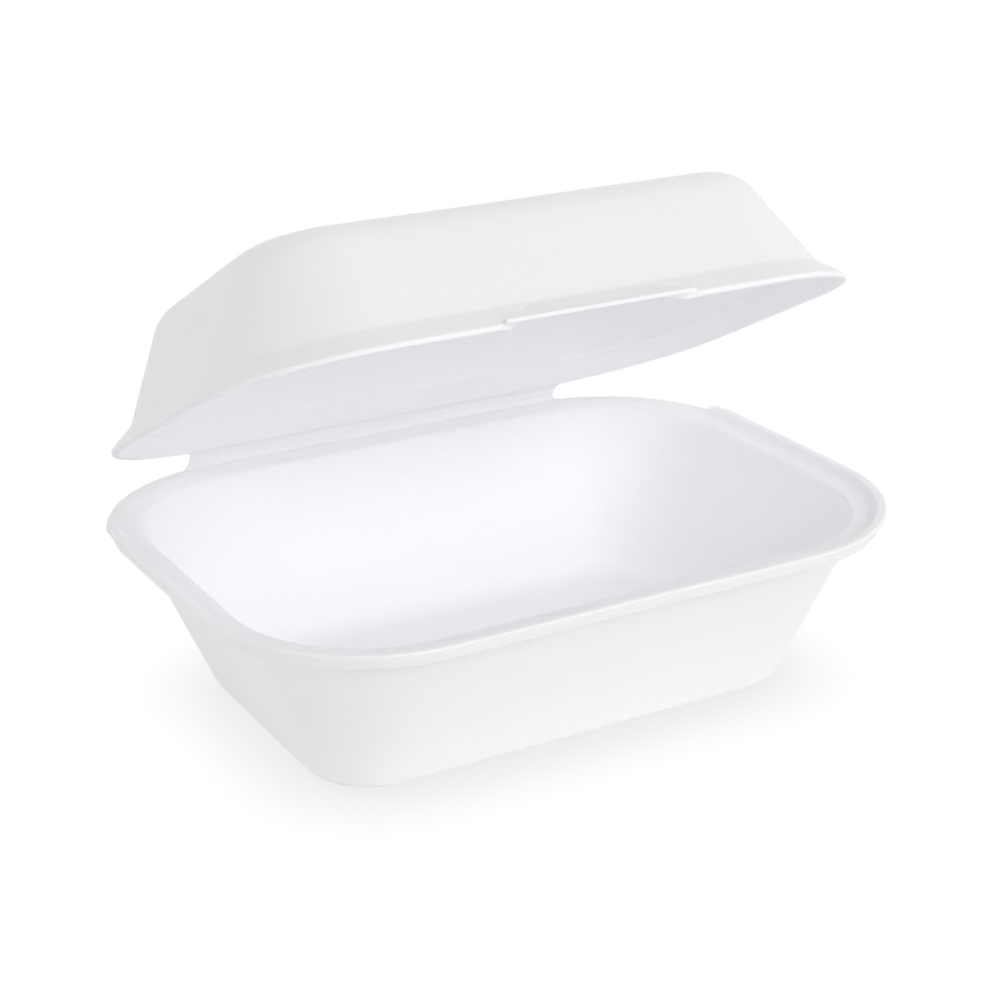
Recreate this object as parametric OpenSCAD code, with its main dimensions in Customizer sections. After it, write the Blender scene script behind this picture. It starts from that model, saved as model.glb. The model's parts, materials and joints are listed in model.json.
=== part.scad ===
// Foam clamshell container: a deep tray and a domed lid, formed from one sheet of polystyrene
// foam and joined along the back by a thin folded strip of the same sheet.
// Millimetres. The hinge runs along X, the front faces -Y and +Z is up.
// The origin is the middle of the tray's foot, on the surface that the tray stands on.
// The lid stands part open. Closing it turns it about the fold until it sits on the tray's
// ledge, inside the raised rim.

/* [Foam sheet] */
// Thickness of the formed foam wall
foam_t = 2.4; // [1.8:0.1:3.2]
// Gap left below the closed lid
seat_gap = 0.3; // [0.3:0.05:0.8]
// Gap left between the closed lid's edge and the raised rim around it
side_gap = 0.4; // [0.4:0.05:0.8]

/* [Tray] */
// Length of the tray over its rim, along the hinge
tray_l = 185; // [160:1:240]
// Width of the tray over its rim, from front to back
tray_w = 134.5; // [120:0.5:180]
// Height of the tray to the top of its raised rim
tray_h = 47.8; // [40:0.2:65]
// Radius of the rim's corners, seen from above
corner_r = 43; // [38:0.5:50]
// How far the foot's edge stands in from the rim
foot_in = 26.5; // [20:0.5:30]
// Rounding of the edge between foot and wall, outside
foot_r = 6; // [2:0.5:8]
// Rounding between floor and wall, inside
floor_r = 8; // [3:0.5:10]

/* [Tray rim] */
// Height of the raised rim above the ledge inside it
bead_h = 2; // [1.4:0.1:3]
// Width of the raised rim's top
bead_w = 2.6; // [2.2:0.1:3.4]
// Slope of the raised rim's inner side, across
bead_slope = 1.4; // [0.8:0.1:1.8]
// How far the ledge's inner edge stands in from the rim's outer face
mouth_in = 9; // [8:0.1:11]
// How far the rim's outer face leans in towards its lower edge
rim_lean = 2; // [0.8:0.1:2.6]
// How far in front of the back edge the raised rim stops
bead_stop = 31; // [16:0.5:40]

/* [Lid] */
// How far the lid stands open from its closed place, in degrees
lid_open = 28; // [10:1:80]
// Height of the lid from its lower edge to its crown
lid_h = 34; // [26:0.2:45]
// Height of the brim that slopes out around the lid
brim_h = 6; // [5:0.2:8]
// Width of the brim, from its outer edge in to the lid's wall
brim_w = 6; // [5:0.1:8]
// Thickness of the brim
brim_t = 2; // [1.8:0.1:2.4]
// Height of the brim's outer edge
brim_edge = 1.6; // [1.2:0.1:1.8]
// How far the crown's edge stands in from the brim's outer edge
crown_in = 20; // [14:0.5:23]
// Rounding of the crown's edge, outside
crown_r = 12; // [5:0.5:14]

/* [Front lock] */
// Width of the lock tab along its free edge
tab_w = 54; // [44:1:72]
// How far each slanted side of the lock tab leans in towards its root
tab_lean = 12; // [4:1:16]
// How far the lock tab stands out beyond the brim's outer edge
tab_flare = 3.4; // [2:0.1:3.6]
// Height of the lock tab's free edge
tab_t = 1.4; // [1:0.1:1.6]
// Width of the slit that frees each side of the lock tab
slit_w = 1.2; // [0.6:0.1:2]
// Width of brim left whole between the lock tab and the lid's wall
tab_root = 1; // [0.6:0.1:1.6]

/* [Hinge strip] */
// Length of the strip that joins lid and tray
hinge_l = 112; // [80:1:114]
// Thickness of the pressed foam in the strip
hinge_t = 1; // [0.6:0.1:1.4]
// How far the fold's axis lies behind the tray's rim
hinge_back = 6; // [4:0.2:10]
// Radius of the fold, inside
fold_r = 0.8; // [0.6:0.1:1.4]
// Straight pad behind the rim and behind the brim that the strip grows from
pad_out = 0.6; // [0.5:0.1:1.5]

/* [Hidden] */
$fn = 96;

foam_white = [0.95, 0.95, 0.96];
// Points in each rounded corner of a section
arc_steps = 6;
// Rounding of the rim's and the brim's small edges
edge_r = 1.2;
fine_r = 0.5;
bend_r = 1.6;
// Overlap that welds one shape to the next
weld = 0.4;

// Heights in the tray's rim
ledge_z = tray_h - bead_h;
ledge_under_z = ledge_z - foam_t;

// The inner wall runs from the ledge's edge and the outer wall from the foot's edge,
// one sheet thickness apart
wall_run = foot_in - mouth_in;
wall_tan = tan(atan2(wall_run, ledge_z) + asin(foam_t / norm([wall_run, ledge_z])));

// The lid's wall, between brim and crown, and the brim's slope
lid_wall_tan = (crown_in - brim_w) / (lid_h - brim_h);
lid_wall_across = foam_t * norm([1, lid_wall_tan]);
brim_tan = (brim_h - brim_edge) / brim_w;
brim_down = brim_t * norm([1, brim_tan]);
// Where the brim's underside meets the inner wall, as a distance in from the brim's outer edge
brim_inner = brim_w + (lid_wall_across - brim_down * lid_wall_tan) / (1 - brim_tan * lid_wall_tan);
// Width of the flat lower edge
brim_foot = (brim_down - brim_edge) / brim_tan;

// Closed, the lid's lower edge lies this high, and the fold's axis lies midway between
// that edge and the ledge
lid_z = ledge_z + seat_gap;
axis_z = ledge_z + seat_gap / 2;
axis_y = tray_w / 2 + hinge_back;

// The lid's own outline, inside the raised rim
lid_in = bead_w + bead_slope + side_gap;
lid_l = tray_l - 2 * lid_in;
lid_w = tray_w - 2 * lid_in;
lid_r = corner_r - lid_in;

// Unit vector from a towards b
function toward(a, b) = let (d = [b.x - a.x, b.y - a.y]) d / norm(d);

// Vector v turned by an angle
function turned(v, angle) = [
    v.x * cos(angle) - v.y * sin(angle),
    v.x * sin(angle) + v.y * cos(angle)
];

// Points that round the corner at b, on the way from a to c, to the radius held in b
function rounded_corner(a, b, c) =
    let (
        u = toward(b, a),
        v = toward(b, c),
        half = acos(u * v) / 2,
        middle = [b.x, b.y] + (u + v) / norm(u + v) * b.z / sin(half),
        first = [b.x, b.y] + u * b.z / tan(half) - middle,
        sweep = sign(u.x * v.y - u.y * v.x) * (2 * half - 180)
    )
    [for (i = [0 : arc_steps]) middle + turned(first, sweep * i / arc_steps)];

// Closed outline through points [x, y, rounding]
function outline(points) = [
    for (i = [0 : len(points) - 1])
        let (
            before = points[(i + len(points) - 1) % len(points)],
            after = points[(i + 1) % len(points)]
        )
        each points[i].z == 0
            ? [[points[i].x, points[i].y]]
            : rounded_corner(before, points[i], after)
];

// Carries a section around a rounded rectangle. The section is drawn from x = 0, which follows
// the line between the corners' centres, out to x = r, the outer face.
module around(l, w, r) {
    for (side = [0 : 3]) {
        half = side % 2 == 0 ? l / 2 : w / 2;
        run = side % 2 == 0 ? w - 2 * r : l - 2 * r;
        rotate([0, 0, 90 * side]) {
            translate([half - r, 0, 0])
                rotate([90, 0, 0])
                    linear_extrude(height = run, center = true)
                        children();
            translate([half - r, run / 2, 0])
                rotate_extrude(angle = 90)
                    children();
        }
    }
}

// Plate in the middle of the floor or the crown, between the four corner centres
module middle_plate(l, w, r, z) {
    translate([-(l / 2 - r), -(w / 2 - r), z])
        cube([l - 2 * r, w - 2 * r, foam_t]);
}

// Section through the tray's floor, wall, ledge and raised rim
module tray_section() {
    face = corner_r;
    polygon(outline([
        [0, 0, 0],
        [face - foot_in, 0, foot_r],
        [face - foot_in + ledge_under_z * wall_tan, ledge_under_z, bend_r],
        [face - rim_lean, ledge_under_z, fine_r],
        [face, tray_h, edge_r],
        [face - bead_w, tray_h, fine_r],
        [face - bead_w - bead_slope, ledge_z, fine_r],
        [face - mouth_in, ledge_z, bend_r],
        [face - mouth_in - (ledge_z - foam_t) * wall_tan, foam_t, floor_r],
        [0, foam_t, 0]
    ]));
}

// Height of the brim's upper face, a distance in from its outer edge
function brim_top(d) = brim_edge + d * brim_tan;

// Section through the lid's crown, wall and brim, with its lower edge at zero
module lid_section() {
    face = lid_r;
    crown_under_z = lid_h - foam_t;
    inner_crown = brim_w + lid_wall_across + (crown_under_z - brim_h) * lid_wall_tan;
    polygon(outline([
        [0, crown_under_z, 0],
        [face - inner_crown, crown_under_z, crown_r - foam_t],
        [face - brim_inner, brim_top(brim_inner) - brim_down, bend_r],
        [face - brim_foot, 0, 0],
        [face, 0, fine_r],
        [face, brim_edge, fine_r],
        [face - brim_w, brim_h, bend_r],
        [face - crown_in, lid_h, crown_r],
        [0, lid_h, 0]
    ]));
}

// Straight pad behind the back edge, for the hinge strip to grow from
module strip_pad(back_y, depth, z0, z1) {
    translate([-hinge_l / 2, back_y - depth, z0])
        cube([hinge_l, depth + pad_out, z1 - z0]);
}

module tray() {
    color(foam_white)
        difference() {
            union() {
                around(tray_l, tray_w, corner_r)
                    tray_section();
                middle_plate(tray_l, tray_w, corner_r, 0);
                strip_pad(tray_w / 2, bead_w, ledge_under_z, ledge_z);
            }
            // The raised rim stops before the back, where the rim drops to the ledge
            translate([-tray_l, tray_w / 2 - bead_stop, ledge_z])
                cube([2 * tray_l, 2 * bead_stop, tray_h]);
        }
}

// Upright block with the lock tab's outline seen from above, widened on each side by a margin
module tab_block(margin, y0, y1) {
    lean = tab_lean / (tab_flare + brim_w - tab_root);
    wide = tab_w / 2 + margin;
    start = -lid_w / 2 - tab_flare;
    translate([0, 0, -weld])
        linear_extrude(height = brim_h + 2 * weld)
            polygon([
                [-wide + (y0 - start) * lean, y0],
                [wide - (y0 - start) * lean, y0],
                [wide - (y1 - start) * lean, y1],
                [-wide + (y1 - start) * lean, y1]
            ]);
}

// Tab in the middle of the front brim, bent up and out. Closed, it reaches over the raised rim.
module lock_tab() {
    face_y = -lid_w / 2;
    root = brim_w - tab_root + weld;
    intersection() {
        tab_block(0, face_y - tab_flare, face_y + root);
        rotate([90, 0, 90])
            linear_extrude(height = tab_w, center = true)
                polygon([
                    [face_y - tab_flare, bead_h],
                    [face_y + root, brim_top(root) - brim_down],
                    [face_y + root, brim_top(root)],
                    [face_y - tab_flare, bead_h + tab_t]
                ]);
    }
}

// The lid in its closed place, with its lower edge at zero
module lid_shell() {
    difference() {
        union() {
            around(lid_l, lid_w, lid_r)
                lid_section();
            middle_plate(lid_l, lid_w, lid_r, lid_h - foam_t);
            strip_pad(lid_w / 2, brim_t, 0, axis_z + fold_r + hinge_t - lid_z);
        }
        tab_block(slit_w, -lid_w / 2 - weld, -lid_w / 2 + brim_w - tab_root);
    }
    lock_tab();
}

// Swings what is drawn in the closed place to where the open lid stands
module swung_open() {
    translate([0, axis_y, axis_z])
        rotate([-lid_open, 0, 0])
            translate([0, -axis_y, -axis_z])
                children();
}

module lid() {
    color(foam_white)
        swung_open()
            translate([0, 0, lid_z])
                lid_shell();
}

// Flat leaf of the hinge strip, from a pad back to the fold's axis
module strip_leaf(pad_y, z) {
    translate([-hinge_l / 2, pad_y, z])
        cube([hinge_l, axis_y - pad_y, hinge_t]);
}

// Pressed strip: a leaf behind the tray, a round fold about the hinge axis and a leaf behind the lid
module hinge_strip() {
    color(foam_white) {
        strip_leaf(tray_w / 2 + pad_out, axis_z - fold_r - hinge_t);
        translate([0, axis_y, axis_z])
            rotate([0, 90, 0])
                rotate_extrude(angle = 180 - lid_open)
                    translate([fold_r, -hinge_l / 2])
                        square([hinge_t, hinge_l]);
        swung_open()
            strip_leaf(lid_w / 2 + pad_out, axis_z + fold_r);
    }
}

tray();
lid();
hinge_strip();
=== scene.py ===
import json
import math

import bmesh
import bpy
from bpy.props import FloatProperty, FloatVectorProperty, IntProperty, PointerProperty
from bpy.types import Operator, Panel, PropertyGroup
from mathutils import Matrix, Vector

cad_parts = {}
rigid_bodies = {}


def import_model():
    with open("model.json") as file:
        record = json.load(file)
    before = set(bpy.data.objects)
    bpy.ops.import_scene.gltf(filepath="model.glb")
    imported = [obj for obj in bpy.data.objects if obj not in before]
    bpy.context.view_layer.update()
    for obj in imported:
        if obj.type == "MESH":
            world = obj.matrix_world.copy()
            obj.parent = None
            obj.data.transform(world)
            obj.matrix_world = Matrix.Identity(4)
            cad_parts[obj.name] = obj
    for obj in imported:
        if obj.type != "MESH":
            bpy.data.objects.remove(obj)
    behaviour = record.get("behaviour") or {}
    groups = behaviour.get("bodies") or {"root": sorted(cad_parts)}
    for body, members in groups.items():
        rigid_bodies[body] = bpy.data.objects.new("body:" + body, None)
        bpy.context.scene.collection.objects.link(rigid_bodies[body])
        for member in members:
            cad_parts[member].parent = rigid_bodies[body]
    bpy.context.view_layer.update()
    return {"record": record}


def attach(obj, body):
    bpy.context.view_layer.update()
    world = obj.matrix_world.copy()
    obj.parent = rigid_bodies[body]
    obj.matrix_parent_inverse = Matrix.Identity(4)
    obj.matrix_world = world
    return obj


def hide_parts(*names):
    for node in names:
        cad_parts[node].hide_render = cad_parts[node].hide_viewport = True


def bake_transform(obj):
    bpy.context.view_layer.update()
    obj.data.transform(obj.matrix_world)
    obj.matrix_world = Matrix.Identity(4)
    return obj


bl_info = {
    "name": "Foam Clamshell Container",
    "version": (1, 0, 0),
    "blender": (4, 5, 0),
    "location": "View3D > Sidebar > Foam Box",
    "description": "Dresses a hinged foam meal box: tray, lid, folded strip and studio",
    "category": "Add Mesh",
}

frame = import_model()
MM = 0.001
PHOTO_PIXELS = 1000

HINGE = frame["record"]["behaviour"]["joints"][0]

# Points in each rounded corner of a section, and the longest straight step along one
ARC_STEPS = 8
LONGEST_STEP = 4 * MM
# Points in each corner of a rim seen from above, and the step between points along the rim
RIM_CORNER_POINTS = 48
RIM_STEP = 2 * MM
# A section stops this far from the middle of the rim's corners, and the flat inside is filled
CORNER_CLEAR = 4.5 * MM
# Roundings of the formed sheet
FINE_EDGE = 0.5 * MM
PRESSED_EDGE = 1.2 * MM
SOFT_BEND = 1.6 * MM
# Length over which the raised rim sinks to the ledge at its stops
RIM_FADE = 2.5 * MM
# Height over which the sheet's unevenness grows to its full size, so the foot stays level
LEVEL_BAND = 8 * MM
# Points closer than this are one, and edges that turn further than this show as sharp
WELD = 0.001 * MM
SHARP_TURN = math.radians(38)
# How far the block that frees the tab reaches past the brim, and the tab's root into the brim
CUT_PAST = 0.4 * MM
TAB_OVERLAP = 0.5 * MM
# Where the tab bends, as a share of its depth, and how far it swells above the brim there
TAB_BEND = 0.3
TAB_SWELL = 0.6 * MM
# Pressed lines along the strip, as shares of its run from rim to brim, and their half width
CREASES = (0.32, 0.5, 0.68)
CREASE_WIDE = 0.45 * MM

# Studio, in metres: half the table's side, and each lamp's sides, distance and height of aim
TABLE_REACH = 4.0
LAMP_SIDES = (1.0, 0.6)
LAMP_DISTANCE = 1.4
LAMP_AIM = 0.05
# White foam passes light on many times before it is lost
LIGHT_BOUNCES = 16


def linear(code):
    """Linear RGBA of an sRGB hex colour."""
    parts = [int(code[i : i + 2], 16) / 255 for i in (0, 2, 4)]
    return (*[c / 12.92 if c <= 0.04045 else ((c + 0.055) / 1.055) ** 2.4 for c in parts], 1.0)


def add_node(tree, kind, inputs=None, **settings):
    """Adds a node with its settings. Sockets among its inputs are linked, other values are set."""
    node = tree.nodes.new(kind)
    for name, value in settings.items():
        setattr(node, name, value)
    for name, value in (inputs or {}).items():
        if isinstance(value, bpy.types.NodeSocket):
            tree.links.new(value, node.inputs[name])
        else:
            node.inputs[name].default_value = value
    return node


def length(name, description, millimetres):
    """A size in the sidebar, given in millimetres."""
    return FloatProperty(
        name=name, description=description, default=millimetres * MM, unit="LENGTH", precision=4
    )


class FoamTraySizes(PropertyGroup):
    """Sizes of the tray"""

    long: length("Length", "Over the rim before it is rounded, along the hinge", 185)
    wide: length("Width", "Over the rim before it is rounded, from front to back", 134.5)
    high: length("Height", "To the top of the raised rim", 47.8)
    corner: length("Corner radius", "Of the rim, seen from above", 43)
    sheet: length("Sheet", "Thickness of the formed foam", 2.4)
    foot_in: length("Foot inset", "From the rim in to the foot's edge", 26.5)
    foot_round: length("Foot rounding", "Outside, between foot and wall", 6)
    floor_round: length("Floor rounding", "Inside, between floor and wall", 8)
    rim_rise: length("Raised rim height", "Above the ledge inside it", 2)
    rim_wide: length("Raised rim width", "Of its top", 2.6)
    rim_slope: length("Raised rim slope", "Across its inner side", 1.4)
    rim_lean: length("Raised rim lean", "Of its outer face, in towards the lower edge", 2)
    rim_stop: length("Raised rim stop", "From the back edge forward to its ends", 31)
    mouth_in: length("Mouth inset", "From the rim in to the ledge's inner edge", 9)


class FoamLidSizes(PropertyGroup):
    """Sizes of the lid"""

    opened: FloatProperty(
        name="Opened",
        description="Angle from the closed place to where the lid stands",
        default=math.radians(-HINGE["range_deg"][0]),
        subtype="ANGLE",
    )
    inset: length("Inset", "From the tray's rim in to the closed lid's edge", 4.4)
    seat: length("Seat gap", "Between the ledge and the closed lid", 0.3)
    high: length("Height", "From the lower edge to the crown", 34)
    brim_rise: length("Brim height", "Of the sloping brim", 6)
    brim_wide: length("Brim width", "From its edge in to the wall", 6)
    brim_sheet: length("Brim thickness", "Of the sloping brim", 2)
    brim_edge: length("Brim edge", "Height of its outer edge", 1.2)
    ridge: length("Ridge", "Height of the fine ridge inside, where wall and brim meet", 0.6)
    crown_in: length("Crown inset", "From the brim's edge in to the crown", 20)
    crown_round: length("Crown rounding", "Outside, between wall and crown", 12)
    tab_wide: length("Tab width", "Along the lock tab's free edge", 54)
    tab_lean: length("Tab lean", "Of each slanted side towards the root", 12)
    tab_flare: length("Tab flare", "Out beyond the brim's edge", 1)
    tab_edge: length("Tab edge", "Height of the tab's free edge", 0.9)
    tab_rise: length("Tab rise", "From the brim's lower edge to the top of the free edge", 2)
    tab_root: length("Tab root", "Brim left whole behind the tab", 1)
    tab_corner: length("Tab corner", "Rounding at the ends of the free edge", 2.2)
    slit: length("Slit", "Width beside each slanted side", 2)


class FoamStripSizes(PropertyGroup):
    """Sizes of the strip that joins lid and tray"""

    long: length("Length", "Along the hinge", 112)
    sheet: length("Thickness", "Of the pressed foam", 1)
    root: length("Root", "How far it reaches into rim and brim", 1.2)
    bow: length("Bow", "How far its ends aim back and up or down before it bends", 1.2)
    flare: length("Flare", "Of its ends where it grows from rim and brim", 3)
    crease: length("Crease", "Depth of each pressed line along the bend, on either side", 0.15)


class FoamFinish(PropertyGroup):
    """Look of the foam"""

    colour: FloatVectorProperty(
        name="Foam colour", description="Skin of the sheet", subtype="COLOR", size=4,
        min=0, max=1, default=linear("FBFBFC"),
    )
    hollow: FloatVectorProperty(
        name="Hollow colour", description="Between the cells under the skin", subtype="COLOR",
        size=4, min=0, max=1, default=linear("F5F6F8"),
    )
    cell: length("Cell", "Size of the foam cells that show through the skin", 1.2)
    ripple: length("Ripple", "Size of the soft waves in the skin", 14)
    uneven: length("Unevenness", "How far the formed sheet strays from true", 0.25)
    spread: length("Spread", "Distance over which the sheet strays", 45)
    seed: IntProperty(name="Seed", description="Chooses the unevenness", default=3)


class FoamStage(PropertyGroup):
    """Camera and light"""

    azimuth: FloatProperty(
        name="Azimuth", description="Of the camera, round the box",
        default=math.radians(-30.24), subtype="ANGLE",
    )
    elevation: FloatProperty(
        name="Elevation", description="Of the camera, above the table",
        default=math.radians(21.64), subtype="ANGLE",
    )
    distance: length("Distance", "From the camera to the middle of the box", 560.8)
    aim_up: length("Aim height", "Of the point that the camera circles", 30)
    slide_right: length("Slide right", "Of the camera in its own picture", 0.27)
    slide_up: length("Slide up", "Of the camera in its own picture", 17.38)
    focal: FloatProperty(
        name="Focal length", description="In pixels of the photograph", default=2202.3, min=1
    )
    floor: FloatVectorProperty(
        name="Floor colour", description="Pale table", subtype="COLOR", size=4,
        min=0, max=1, default=linear("F4F4F4"),
    )
    room: FloatProperty(
        name="Room", description="Strength of the room all round", default=0.1, min=0
    )
    backdrop: FloatProperty(
        name="Backdrop", description="Strength of the wall behind the box", default=1.5, min=0
    )
    sides: FloatProperty(
        name="Sides", description="Strength of the walls on either side", default=0.9, min=0
    )
    key: FloatProperty(
        name="Key light", description="Power of the front lamp", default=6.3, min=0, unit="POWER"
    )
    upper: FloatProperty(
        name="Upper light", description="Power of the high lamp", default=3.85, min=0, unit="POWER"
    )
    fill: FloatProperty(
        name="Fill light", description="Power of the left lamp", default=1.8, min=0, unit="POWER"
    )


def settings():
    """The property groups, on the scene."""
    return bpy.context.scene.foam_box


class FoamBox(PropertyGroup):
    """All settings of the foam box"""

    tray: PointerProperty(type=FoamTraySizes)
    lid: PointerProperty(type=FoamLidSizes)
    strip: PointerProperty(type=FoamStripSizes)
    finish: PointerProperty(type=FoamFinish)
    stage: PointerProperty(type=FoamStage)


def rounded(points):
    """Points (x, z, rounding) of a section with its corners rounded and long straights divided."""
    path = []
    for i, (x, z, radius) in enumerate(points):
        here = Vector((x, z))
        if not radius:
            path.append(here)
            continue
        u = (Vector(points[i - 1][:2]) - here).normalized()
        v = (Vector(points[i + 1][:2]) - here).normalized()
        half = u.angle(v) / 2
        middle = here + (u + v).normalized() * radius / math.sin(half)
        first = here + u * radius / math.tan(half) - middle
        sweep = math.copysign(math.pi - 2 * half, u.y * v.x - u.x * v.y)
        for k in range(ARC_STEPS + 1):
            turn = sweep * k / ARC_STEPS
            c, s = math.cos(turn), math.sin(turn)
            path.append(middle + Vector((first.x * c - first.y * s, first.x * s + first.y * c)))
    stepped = path[:1]
    for a, b in zip(path, path[1:]):
        count = math.ceil((b - a).length / LONGEST_STEP)
        stepped += [a.lerp(b, k / count) for k in range(1, count + 1)]
    return stepped


def ledge_height():
    """Height of the ledge that the closed lid sits on."""
    tray = settings().tray
    return tray.high - tray.rim_rise


def tray_section():
    """Section through floor, wall, ledge and raised rim. x is 0 at the rim's outer face."""
    t = settings().tray
    ledge = ledge_height()
    under = ledge - t.sheet
    run = t.foot_in - t.mouth_in
    slope = math.tan(math.atan2(run, ledge) + math.asin(t.sheet / math.hypot(run, ledge)))
    middle = -t.corner + CORNER_CLEAR
    return rounded([
        (middle, 0, 0),
        (-t.foot_in, 0, t.foot_round),
        (-t.foot_in + under * slope, under, SOFT_BEND),
        (-t.rim_lean, under, PRESSED_EDGE),
        (0, t.high, FINE_EDGE),
        (-t.rim_wide, t.high, FINE_EDGE),
        (-t.rim_wide - t.rim_slope, ledge, PRESSED_EDGE),
        (-t.mouth_in, ledge, SOFT_BEND),
        (-t.mouth_in - (ledge - t.sheet) * slope, t.sheet, t.floor_round),
        (middle, t.sheet, 0),
    ])


def brim_facts():
    """Slope of the brim's upper face and the brim's thickness measured straight down."""
    lid = settings().lid
    slope = (lid.brim_rise - lid.brim_edge) / lid.brim_wide
    return slope, lid.brim_sheet * math.hypot(1, slope)


def lid_section():
    """Section through crown, wall and brim. x is 0 at the brim's edge, z at its lower side."""
    box = settings()
    lid, sheet = box.lid, box.tray.sheet
    slope, down = brim_facts()
    lean = (lid.crown_in - lid.brim_wide) / (lid.high - lid.brim_rise)
    across = sheet * math.hypot(1, lean)
    inner = lid.brim_wide + (across - down * lean) / (1 - slope * lean)
    crown_under = lid.high - sheet
    inner_crown = lid.brim_wide + across + (crown_under - lid.brim_rise) * lean
    middle = -(box.tray.corner - lid.inset) + CORNER_CLEAR
    bend_at = Vector((-inner, lid.brim_edge + inner * slope - down))
    # The ridge stands out midway between the inner faces of wall and brim
    ridge_side = 1.2 * MM
    ridge_in, ridge_low = 0.77 * lid.ridge, 0.63 * lid.ridge
    wall_bend = 4 * MM
    return rounded([
        (middle, crown_under, 0),
        (-inner_crown, crown_under, lid.crown_round - sheet),
        (bend_at.x - lean * ridge_side, bend_at.y + ridge_side, FINE_EDGE),
        (bend_at.x - ridge_in, bend_at.y - ridge_low, FINE_EDGE),
        (bend_at.x + ridge_side, bend_at.y - slope * ridge_side, FINE_EDGE),
        (-(down - lid.brim_edge) / slope, 0, FINE_EDGE / 2),
        (0, 0, FINE_EDGE),
        (0, lid.brim_edge, FINE_EDGE),
        (-lid.brim_wide, lid.brim_rise, wall_bend),
        (-lid.crown_in, lid.high, lid.crown_round),
        (middle, lid.high, 0),
    ])


def foam_tree():
    """Geometry nodes that carry a section around a rim and let the formed sheet stray a little."""
    tree = bpy.data.node_groups.new("Foam sheet around a rim", "GeometryNodeTree")
    for name, kind in (
        ("Section", "Geometry"), ("Length", "Float"), ("Width", "Float"),
        ("Corner Radius", "Float"), ("Step", "Float"), ("Ledge Height", "Float"),
        ("Stop", "Float"), ("Stop Fade", "Float"), ("Unevenness", "Float"),
        ("Spread", "Float"), ("Seed", "Float"), ("Material", "Material"),
    ):
        tree.interface.new_socket(name, in_out="INPUT", socket_type="NodeSocket" + kind)
    tree.interface.new_socket("Geometry", in_out="OUTPUT", socket_type="NodeSocketGeometry")
    given = add_node(tree, "NodeGroupInput").outputs
    rim = add_node(tree, "GeometryNodeCurvePrimitiveQuadrilateral", {
        "Width": given["Length"], "Height": given["Width"],
    })
    rim = add_node(tree, "GeometryNodeFilletCurve", {
        "Curve": rim.outputs[0], "Count": RIM_CORNER_POINTS, "Radius": given["Corner Radius"],
    }, mode="POLY")
    rim = add_node(tree, "GeometryNodeResampleCurve", {
        "Curve": rim.outputs[0], "Length": given["Step"],
    }, mode="LENGTH")
    rim = add_node(tree, "GeometryNodeSetCurveNormal", {"Curve": rim.outputs[0]}, mode="Z_UP")
    sheet = add_node(tree, "GeometryNodeCurveToMesh", {
        "Curve": rim.outputs[0], "Profile Curve": given["Section"],
    })
    # The raised rim sinks to the ledge behind its stops
    place = add_node(tree, "GeometryNodeInputPosition").outputs[0]
    axes = add_node(tree, "ShaderNodeSeparateXYZ", {0: place}).outputs
    front = add_node(tree, "ShaderNodeMath", {
        0: given["Stop"], 1: given["Stop Fade"],
    }, operation="SUBTRACT")
    sunk = add_node(tree, "ShaderNodeMapRange", {
        "Value": axes["Y"], "From Min": front.outputs[0], "From Max": given["Stop"],
    }, interpolation_type="SMOOTHSTEP")
    above = add_node(tree, "ShaderNodeMath", {
        0: axes["Z"], 1: given["Ledge Height"],
    }, operation="SUBTRACT")
    above = add_node(tree, "ShaderNodeMath", {0: above.outputs[0], 1: 0.0}, operation="MAXIMUM")
    drop = add_node(tree, "ShaderNodeMath", {
        0: above.outputs[0], 1: sunk.outputs[0],
    }, operation="MULTIPLY")
    drop = add_node(tree, "ShaderNodeMath", {0: drop.outputs[0], 1: -1.0}, operation="MULTIPLY")
    drop = add_node(tree, "ShaderNodeCombineXYZ", {"Z": drop.outputs[0]})
    sheet = add_node(tree, "GeometryNodeSetPosition", {
        "Geometry": sheet.outputs[0], "Offset": drop.outputs[0],
    })
    # Inner and outer skin stray together, so the sheet keeps its thickness
    fine = add_node(tree, "ShaderNodeMath", {0: 1.0, 1: given["Spread"]}, operation="DIVIDE")
    waves = add_node(tree, "ShaderNodeTexNoise", {
        "Vector": place, "W": given["Seed"], "Scale": fine.outputs[0],
        "Detail": 1.0, "Roughness": 0.4,
    }, noise_dimensions="4D")
    centred = add_node(tree, "ShaderNodeVectorMath", {
        0: waves.outputs["Color"], 1: (0.5, 0.5, 0.5),
    }, operation="SUBTRACT")
    stray = add_node(tree, "ShaderNodeVectorMath", {
        0: centred.outputs[0], "Scale": given["Unevenness"],
    }, operation="SCALE")
    level = add_node(tree, "ShaderNodeMapRange", {
        "Value": axes["Z"], "From Min": 0.0, "From Max": LEVEL_BAND,
    })
    stray = add_node(tree, "ShaderNodeVectorMath", {
        0: stray.outputs[0], "Scale": level.outputs[0],
    }, operation="SCALE")
    sheet = add_node(tree, "GeometryNodeSetPosition", {
        "Geometry": sheet.outputs[0], "Offset": stray.outputs[0],
    })
    sheet = add_node(tree, "GeometryNodeSetShadeSmooth", {0: sheet.outputs[0]})
    sheet = add_node(tree, "GeometryNodeRealizeInstances", {0: sheet.outputs[0]})
    sheet = add_node(tree, "GeometryNodeSetMaterial", {
        "Geometry": sheet.outputs[0], "Material": given["Material"],
    })
    add_node(tree, "NodeGroupOutput", {"Geometry": sheet.outputs[0]})
    return tree


def evaluated(carrier):
    """Plain mesh of an object with its modifiers applied."""
    shown = carrier.evaluated_get(bpy.context.evaluated_depsgraph_get())
    return bpy.data.meshes.new_from_object(shown)


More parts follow.
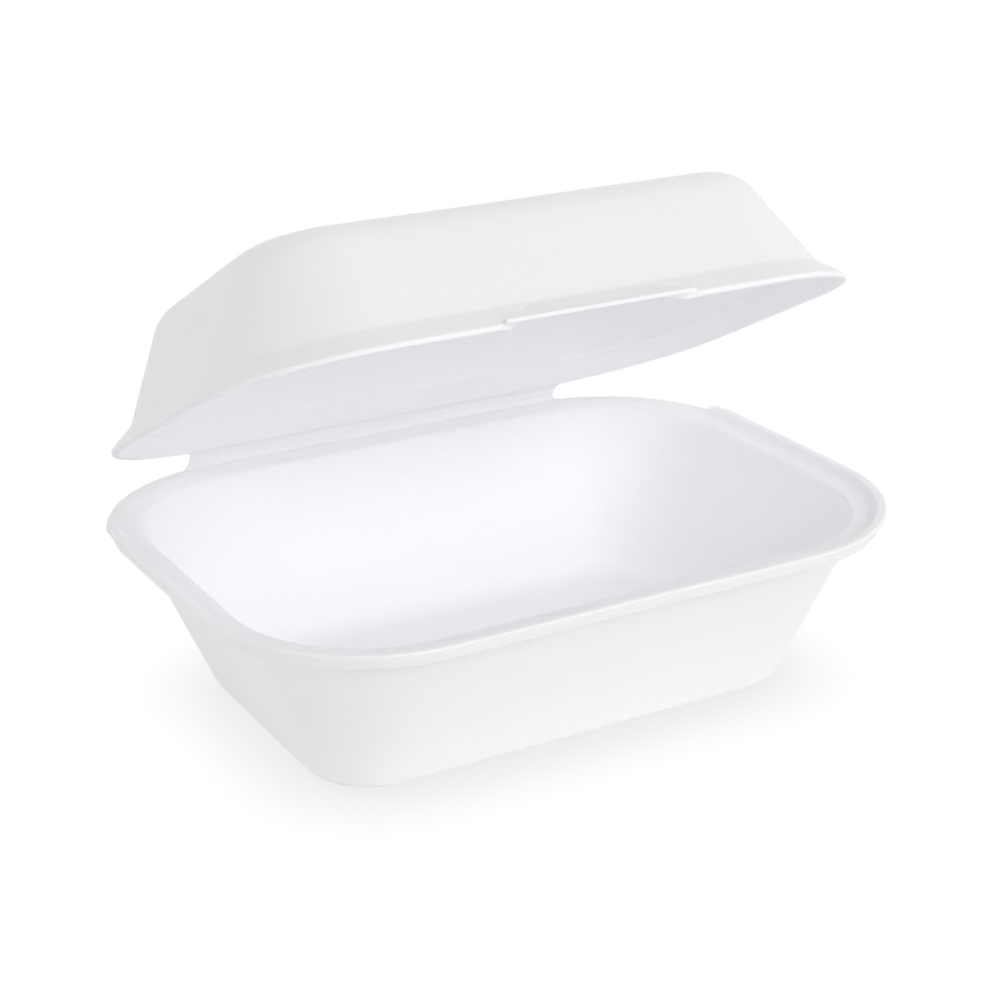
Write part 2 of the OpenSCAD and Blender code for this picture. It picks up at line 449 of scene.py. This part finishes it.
def formed_sheet(section, **values):
    """Closed mesh of a section carried around a rim by the geometry nodes."""
    curve = bpy.data.curves.new("section", "CURVE")
    curve.dimensions = "3D"
    spline = curve.splines.new("POLY")
    spline.points.add(len(section) - 1)
    for point, place in zip(spline.points, section):
        point.co = (place.x, -place.y, 0, 1)
    carrier = bpy.data.objects.new("section", curve)
    bpy.context.scene.collection.objects.link(carrier)
    tree = bpy.data.node_groups.get("Foam sheet around a rim") or foam_tree()
    finish = settings().finish
    values.update({
        "Step": RIM_STEP, "Unevenness": 2 * finish.uneven, "Spread": finish.spread,
        "Seed": float(finish.seed), "Material": foam_material(),
    })
    modifier = carrier.modifiers.new("Foam sheet", "NODES")
    modifier.node_group = tree
    for item in tree.interface.items_tree:
        if item.in_out == "INPUT" and item.name in values:
            modifier[item.identifier] = values[item.name]
    mesh = evaluated(carrier)
    bpy.data.objects.remove(carrier)
    bpy.data.curves.remove(curve)
    shell = bmesh.new()
    shell.from_mesh(mesh)
    bmesh.ops.remove_doubles(shell, verts=shell.verts, dist=WELD)
    bmesh.ops.holes_fill(shell, edges=[e for e in shell.edges if e.is_boundary], sides=0)
    bmesh.ops.recalc_face_normals(shell, faces=shell.faces)
    shell.to_mesh(mesh)
    shell.free()
    return mesh


def piece(name, mesh):
    """Object at the origin that shows a finished mesh in foam."""
    if not mesh.materials:
        mesh.materials.append(foam_material())
    mesh.name = name
    for face in mesh.polygons:
        face.use_smooth = True
    mesh.set_sharp_from_angle(angle=SHARP_TURN)
    made = bpy.data.objects.new(name, mesh)
    bpy.context.scene.collection.objects.link(made)
    return made


def closed_to_open():
    """Carries the lid from its closed place to where it stands, about the fold."""
    axis = Vector(HINGE["pos_m"])
    turn = Matrix.Rotation(-settings().lid.opened, 4, "X")
    return Matrix.Translation(axis) @ turn @ Matrix.Translation(-axis)


def slab(upper, lower):
    """Closed mesh between an upper and a lower grid of points."""
    made = bmesh.new()
    rows, columns = len(upper), len(upper[0])
    grids = [[[made.verts.new(p) for p in row] for row in grid] for grid in (upper, lower)]
    for grid in grids:
        for i in range(rows - 1):
            for j in range(columns - 1):
                made.faces.new((grid[i][j], grid[i][j + 1], grid[i + 1][j + 1], grid[i + 1][j]))
    rim = [(0, j) for j in range(columns)] + [(i, columns - 1) for i in range(1, rows)]
    rim += [(rows - 1, j) for j in range(columns - 2, -1, -1)]
    rim += [(i, 0) for i in range(rows - 2, 0, -1)]
    for (a, b), (c, d) in zip(rim, rim[1:] + rim[:1]):
        made.faces.new((grids[0][a][b], grids[1][a][b], grids[1][c][d], grids[0][c][d]))
    bmesh.ops.recalc_face_normals(made, faces=made.faces)
    mesh = bpy.data.meshes.new("slab")
    made.to_mesh(mesh)
    made.free()
    return mesh


def lid_outline():
    """Length, width and corner radius of the lid's edge."""
    box = settings()
    return (
        box.tray.long - 2 * box.lid.inset,
        box.tray.wide - 2 * box.lid.inset,
        box.tray.corner - box.lid.inset,
    )


def tab_half(y, margin=0.0):
    """Half the lock tab's width at a depth, widened by a margin."""
    lid = settings().lid
    start = -lid_outline()[1] / 2 - lid.tab_flare
    lean = lid.tab_lean / (lid.tab_flare + lid.brim_wide - lid.tab_root)
    return lid.tab_wide / 2 + margin - (y - start) * lean


def tab_opening():
    """Upright block that frees the lock tab from the brim."""
    lid = settings().lid
    front = -lid_outline()[1] / 2 - CUT_PAST
    back = -lid_outline()[1] / 2 + lid.brim_wide - lid.tab_root
    grids = [
        [[(side * tab_half(y, lid.slit), y, z) for side in (-1, 1)] for y in (front, back)]
        for z in (lid.brim_rise + CUT_PAST, -CUT_PAST)
    ]
    return slab(*grids)


def lock_tab():
    """Tab bent up and out from the front brim."""
    lid = settings().lid
    slope, down = brim_facts()
    edge = -lid_outline()[1] / 2
    root = lid.brim_wide - lid.tab_root + TAB_OVERLAP
    tip = edge - lid.tab_flare
    bend_at = TAB_BEND * root
    bend_thick = (down + lid.tab_edge) / 2
    # Depth, upper height and thickness at the root, the bend and the free edge
    knots = (
        (edge + root, lid.brim_edge + root * slope, down),
        (edge + bend_at, lid.brim_edge + bend_at * slope + TAB_SWELL, bend_thick),
        (tip, lid.tab_rise, lid.tab_edge),
    )
    upper, lower = [], []
    steps, across = 14, 48
    for i in range(steps + 1):
        t = i / steps
        y, z, thick = (
            (1 - t) ** 2 * a + 2 * t * (1 - t) * b + t * t * c for a, b, c in zip(*knots)
        )
        half = tab_half(y)
        short = lid.tab_corner - (y - tip)
        if short > 0:
            half -= lid.tab_corner - math.sqrt(max(lid.tab_corner ** 2 - short ** 2, 0))
        xs = [half * (2 * k / across - 1) for k in range(across + 1)]
        upper.append([(x, y, z) for x in xs])
        lower.append([(x, y, z - thick) for x in xs])
    return slab(upper, lower)


def combined(mesh, other, operation):
    """The mesh with the other's shape taken out or grown on."""
    scene = bpy.context.scene.collection.objects
    body = bpy.data.objects.new("body", mesh)
    tool = bpy.data.objects.new("tool", other)
    scene.link(body)
    scene.link(tool)
    modifier = body.modifiers.new("combine", "BOOLEAN")
    modifier.operation = operation
    modifier.solver = "EXACT"
    modifier.object = tool
    result = evaluated(body)
    bpy.data.objects.remove(body)
    bpy.data.objects.remove(tool)
    return result


def strip_path():
    """Middle line of the hinge strip from rim to brim in Y and Z, as (place, outward normal)."""
    box = settings()
    strip, lid = box.strip, box.lid
    edge = lid_outline()[1] / 2
    seat = ledge_height() + lid.seat
    brim = closed_to_open() @ Vector((0, edge - strip.root, seat + lid.brim_edge / 2))
    top = Vector((brim.y, brim.z))
    foot = Vector((box.tray.wide / 2 - strip.root, ledge_height() - strip.sheet / 2))
    # It rises from the rim's rear edge, bows back a little and meets the brim's edge
    knots = (
        foot,
        foot + Vector((strip.bow, strip.bow)),
        top + Vector((strip.bow, -strip.bow)),
        top,
    )
    steps = 40
    path = []
    for k in range(steps + 1):
        t = k / steps
        shares = ((1 - t) ** 3, 3 * t * (1 - t) ** 2, 3 * t * t * (1 - t), t ** 3)
        leans = (-3 * (1 - t) ** 2, 3 * (1 - t) * (1 - 3 * t), 3 * t * (2 - 3 * t), 3 * t * t)
        place = sum((knot * share for knot, share in zip(knots, shares)), Vector((0, 0)))
        along = sum((knot * lean for knot, lean in zip(knots, leans)), Vector((0, 0))).normalized()
        path.append((place, Vector((along.y, -along.x))))
    return path


def hinge_strip():
    """Pressed strip with a soft bend, flared into rim and brim and creased along its length."""
    strip = settings().strip
    path = strip_path()
    walked = [0.0]
    for (a, _), (b, _) in zip(path, path[1:]):
        walked.append(walked[-1] + (b - a).length)
    total = walked[-1]
    creases = [total * share for share in CREASES]
    upper, lower = [], []
    across = 56
    thick = strip.sheet / 2
    for (place, out), s in zip(path, walked):
        near = max(1 - min(s, total - s) / strip.flare, 0)
        half = strip.long / 2 + strip.flare * (1 - math.sqrt(max(1 - near * near, 0)))
        press = sum(math.exp(-(((s - c) / CREASE_WIDE) ** 2)) for c in creases)
        pressed = thick - strip.crease * min(press, 1)
        xs = [half * (2 * k / across - 1) for k in range(across + 1)]
        upper.append([(x, *(place + out * pressed)) for x in xs])
        lower.append([(x, *(place - out * pressed)) for x in xs])
    return slab(upper, lower)


def foam_material():
    """Foam sheet formed hot: a matt white skin with faint cells and soft waves under it."""
    name = "Extruded polystyrene foam"
    if name in bpy.data.materials:
        return bpy.data.materials[name]
    finish = settings().finish
    material = bpy.data.materials.new(name)
    material.use_nodes = True
    tree = material.node_tree
    tree.nodes.clear()
    place = add_node(tree, "ShaderNodeTexCoord").outputs["Object"]
    # Real cells are about 0.3 mm across, drawn coarser so that they show
    cells = add_node(tree, "ShaderNodeTexVoronoi", {
        "Vector": place, "Scale": 1 / finish.cell,
    }, feature="F1")
    waves = add_node(tree, "ShaderNodeTexNoise", {
        "Vector": place, "Scale": 1 / finish.ripple, "Detail": 3.0, "Roughness": 0.5,
    })
    cell_share = add_node(tree, "ShaderNodeMapRange", {
        "Value": cells.outputs["Distance"],
        "From Min": 0.1, "From Max": 0.8, "To Min": 0.0, "To Max": 0.35,
    })
    shade = add_node(tree, "ShaderNodeMath", {
        0: waves.outputs["Fac"], 1: 0.5, 2: cell_share.outputs[0],
    }, operation="MULTIPLY_ADD")
    colour = add_node(tree, "ShaderNodeMix", {
        "Factor": shade.outputs[0], 6: finish.colour, 7: finish.hollow,
    }, data_type="RGBA")
    rough = add_node(tree, "ShaderNodeMapRange", {
        "Value": waves.outputs["Fac"],
        "From Min": 0.3, "From Max": 0.7, "To Min": 0.5, "To Max": 0.62,
    })
    height = add_node(tree, "ShaderNodeMath", {
        0: waves.outputs["Fac"], 1: 3.0, 2: cells.outputs["Distance"],
    }, operation="MULTIPLY_ADD")
    bump = add_node(tree, "ShaderNodeBump", {
        "Strength": 0.12, "Distance": 0.12 * MM, "Height": height.outputs[0],
    })
    skin = add_node(tree, "ShaderNodeBsdfPrincipled", {
        "Base Color": colour.outputs[2], "Roughness": rough.outputs[0], "Normal": bump.outputs[0],
        "IOR": 1.59, "Specular IOR Level": 0.35,
        "Subsurface Weight": 0.3, "Subsurface Radius": (1.0, 1.0, 1.0), "Subsurface Scale": 4 * MM,
    })
    add_node(tree, "ShaderNodeOutputMaterial", {"Surface": skin.outputs[0]})
    return material


class FOAMBOX_OT_tray(Operator):
    """Forms the tray: floor, sloping walls, ledge and raised rim"""

    bl_idname = "foambox.tray"
    bl_label = "Foam Tray"

    def execute(self, context):
        tray = settings().tray
        mesh = formed_sheet(tray_section(), **{
            "Length": tray.long, "Width": tray.wide, "Corner Radius": tray.corner,
            "Ledge Height": ledge_height(), "Stop": tray.wide / 2 - tray.rim_stop,
            "Stop Fade": RIM_FADE,
        })
        made = piece("foam_tray", mesh)
        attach(made, "tray")
        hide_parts("tray")
        return {"FINISHED"}


class FOAMBOX_OT_lid(Operator):
    """Forms the lid: crown, walls, sloping brim and the lock tab"""

    bl_idname = "foambox.lid"
    bl_label = "Foam Lid"

    def execute(self, context):
        lid = settings().lid
        long, wide, corner = lid_outline()
        # The lid has no raised rim, so nothing reaches the height above which it would sink
        shell = formed_sheet(lid_section(), **{
            "Length": long, "Width": wide, "Corner Radius": corner,
            "Ledge Height": 2 * lid.high, "Stop": wide, "Stop Fade": RIM_FADE,
        })
        mesh = combined(combined(shell, tab_opening(), "DIFFERENCE"), lock_tab(), "UNION")
        mesh.transform(closed_to_open() @ Matrix.Translation((0, 0, ledge_height() + lid.seat)))
        made = piece("foam_lid", mesh)
        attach(made, "lid")
        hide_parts("lid")
        return {"FINISHED"}


class FOAMBOX_OT_strip(Operator):
    """Presses the strip that joins lid and tray"""

    bl_idname = "foambox.strip"
    bl_label = "Hinge Strip"

    def execute(self, context):
        made = piece("foam_hinge_strip", hinge_strip())
        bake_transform(made)
        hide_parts("hinge_strip")
        return {"FINISHED"}


def white_to_camera(tree):
    """1 for what the camera sees, also in gloss or glass, and 0 for light on its way."""
    path = add_node(tree, "ShaderNodeLightPath").outputs
    seen = add_node(tree, "ShaderNodeMath", {
        0: path["Is Camera Ray"], 1: path["Is Glossy Ray"],
    }, operation="MAXIMUM")
    return add_node(tree, "ShaderNodeMath", {
        0: seen.outputs[0], 1: path["Is Transmission Ray"],
    }, operation="MAXIMUM").outputs[0]


def studio_floor():
    """Pale table that shows white, with a soft shadow painted under the box: ambient occlusion
    darkens the white that the camera sees.
    """
    stage = settings().stage
    material = bpy.data.materials.new("Pale table")
    material.use_nodes = True
    tree = material.node_tree
    tree.nodes.clear()
    paint = add_node(tree, "ShaderNodeBsdfDiffuse", {"Color": stage.floor})
    # Painted shadow: the camera sees white emission, darkened by ambient occlusion where the box
    # stands close to the table
    painted_shadow_occlusion = add_node(tree, "ShaderNodeAmbientOcclusion", {"Distance": 20 * MM}, samples=4)
    shade = add_node(tree, "ShaderNodeMapRange", {
        "Value": painted_shadow_occlusion.outputs["AO"],
        "From Min": 0.3, "From Max": 0.9, "To Min": 0.84, "To Max": 1.0,
    })
    white = add_node(tree, "ShaderNodeEmission", {
        "Color": (1, 1, 1, 1), "Strength": shade.outputs[0],
    })
    both = add_node(tree, "ShaderNodeMixShader", {
        0: white_to_camera(tree), 1: paint.outputs[0], 2: white.outputs[0],
    })
    add_node(tree, "ShaderNodeOutputMaterial", {"Surface": both.outputs[0]})
    mesh = bpy.data.meshes.new("table")
    far = TABLE_REACH
    corners = [(-far, -far, 0), (far, -far, 0), (far, far, 0), (-far, far, 0)]
    mesh.from_pydata(corners, [], [(0, 1, 2, 3)])
    mesh.materials.append(material)
    table = bpy.data.objects.new("table", mesh)
    bpy.context.scene.collection.objects.link(table)


def aim_from(turn, lift):
    """Direction at a turn from the front towards the right and a lift above the table."""
    return Vector((
        math.sin(turn) * math.cos(lift), -math.cos(turn) * math.cos(lift), math.sin(lift)
    ))


def studio_lamp(name, power, turn, lift):
    """Broad soft lamp at a turn from the front towards the right and a lift, both in degrees."""
    lamp = bpy.data.lights.new(name, "AREA")
    lamp.energy = power
    lamp.shape = "RECTANGLE"
    lamp.size, lamp.size_y = LAMP_SIDES
    made = bpy.data.objects.new(name, lamp)
    aim = aim_from(math.radians(turn), math.radians(lift))
    made.location = Vector((0, 0, LAMP_AIM)) + aim * LAMP_DISTANCE
    made.rotation_euler = (-aim).to_track_quat("-Z", "Y").to_euler()
    bpy.context.scene.collection.objects.link(made)


def studio_light():
    """Pale room, brightest behind the box and dimmer at its sides, and three lamps in front."""
    stage = settings().stage
    scene = bpy.context.scene
    world = bpy.data.worlds.new("Studio")
    scene.world = world
    world.use_nodes = True
    tree = world.node_tree
    tree.nodes.clear()
    around = add_node(tree, "ShaderNodeTexCoord").outputs["Generated"]
    aim = add_node(tree, "ShaderNodeSeparateXYZ", {0: around})
    rear = add_node(tree, "ShaderNodeMath", {0: aim.outputs["Y"], 1: 0.0}, operation="MAXIMUM")
    rear = add_node(tree, "ShaderNodeMath", {0: rear.outputs[0], 1: 2.0}, operation="POWER")
    side = add_node(tree, "ShaderNodeMath", {
        0: aim.outputs["X"], 1: aim.outputs["X"],
    }, operation="MULTIPLY")
    walls = add_node(tree, "ShaderNodeMath", {
        0: side.outputs[0], 1: stage.sides, 2: stage.room,
    }, operation="MULTIPLY_ADD")
    walls = add_node(tree, "ShaderNodeMath", {
        0: rear.outputs[0], 1: stage.backdrop, 2: walls.outputs[0],
    }, operation="MULTIPLY_ADD")
    level = add_node(tree, "ShaderNodeMapRange", {
        "Value": white_to_camera(tree), "To Min": walls.outputs[0], "To Max": 1.0,
    })
    room = add_node(tree, "ShaderNodeBackground", {
        "Color": (1, 1, 1, 1), "Strength": level.outputs[0],
    })
    add_node(tree, "ShaderNodeOutputWorld", {"Surface": room.outputs[0]})
    studio_lamp("key", stage.key, 17, 24)
    studio_lamp("upper", stage.upper, 20, 45)
    studio_lamp("fill", stage.fill, -40, 20)
    scene.cycles.diffuse_bounces = LIGHT_BOUNCES
    scene.cycles.max_bounces = LIGHT_BOUNCES


def studio_camera():
    """Camera where the photograph was taken from."""
    stage = settings().stage
    back = aim_from(stage.azimuth, stage.elevation)
    right = Vector((math.cos(stage.azimuth), math.sin(stage.azimuth), 0))
    up = back.cross(right)
    lens = bpy.data.cameras.new("camera")
    lens.sensor_width = 36
    lens.lens = stage.focal * lens.sensor_width / PHOTO_PIXELS
    lens.clip_start = 0.01
    camera = bpy.data.objects.new("camera", lens)
    slide = right * stage.slide_right + up * stage.slide_up
    camera.location = Vector((0, 0, stage.aim_up)) + back * stage.distance + slide
    camera.rotation_euler = (-back).to_track_quat("-Z", "Y").to_euler()
    bpy.context.scene.collection.objects.link(camera)
    bpy.context.scene.camera = camera


class FOAMBOX_OT_stage(Operator):
    """Sets the pale table, the soft light and the camera"""

    bl_idname = "foambox.stage"
    bl_label = "Studio"

    def execute(self, context):
        studio_camera()
        studio_light()
        studio_floor()
        context.scene.view_settings.view_transform = "Standard"
        return {"FINISHED"}


PIECES = (FOAMBOX_OT_stage, FOAMBOX_OT_tray, FOAMBOX_OT_lid, FOAMBOX_OT_strip)


class FOAMBOX_PT_build(Panel):
    """Lists the pieces of the foam box"""

    bl_idname = "FOAMBOX_PT_build"
    bl_label = "Foam Box"
    bl_space_type = "VIEW_3D"
    bl_region_type = "UI"
    bl_category = "Foam Box"

    def draw(self, context):
        for operator in PIECES:
            self.layout.operator(operator.bl_idname)
        for group in ("tray", "lid", "strip", "finish", "stage"):
            column = self.layout.column(heading=group.title())
            values = getattr(context.scene.foam_box, group)
            for name in type(values).__annotations__:
                column.prop(values, name)


CLASSES = (
    FoamTraySizes, FoamLidSizes, FoamStripSizes, FoamFinish, FoamStage, FoamBox,
    *PIECES, FOAMBOX_PT_build,
)


def register():
    for made in CLASSES:
        bpy.utils.register_class(made)
    bpy.types.Scene.foam_box = PointerProperty(type=FoamBox)


def unregister():
    del bpy.types.Scene.foam_box
    for made in reversed(CLASSES):
        bpy.utils.unregister_class(made)


def main():
    register()
    bpy.ops.foambox.stage()
    bpy.ops.foambox.tray()
    bpy.ops.foambox.lid()
    bpy.ops.foambox.strip()


if __name__ == "__main__":
    main()
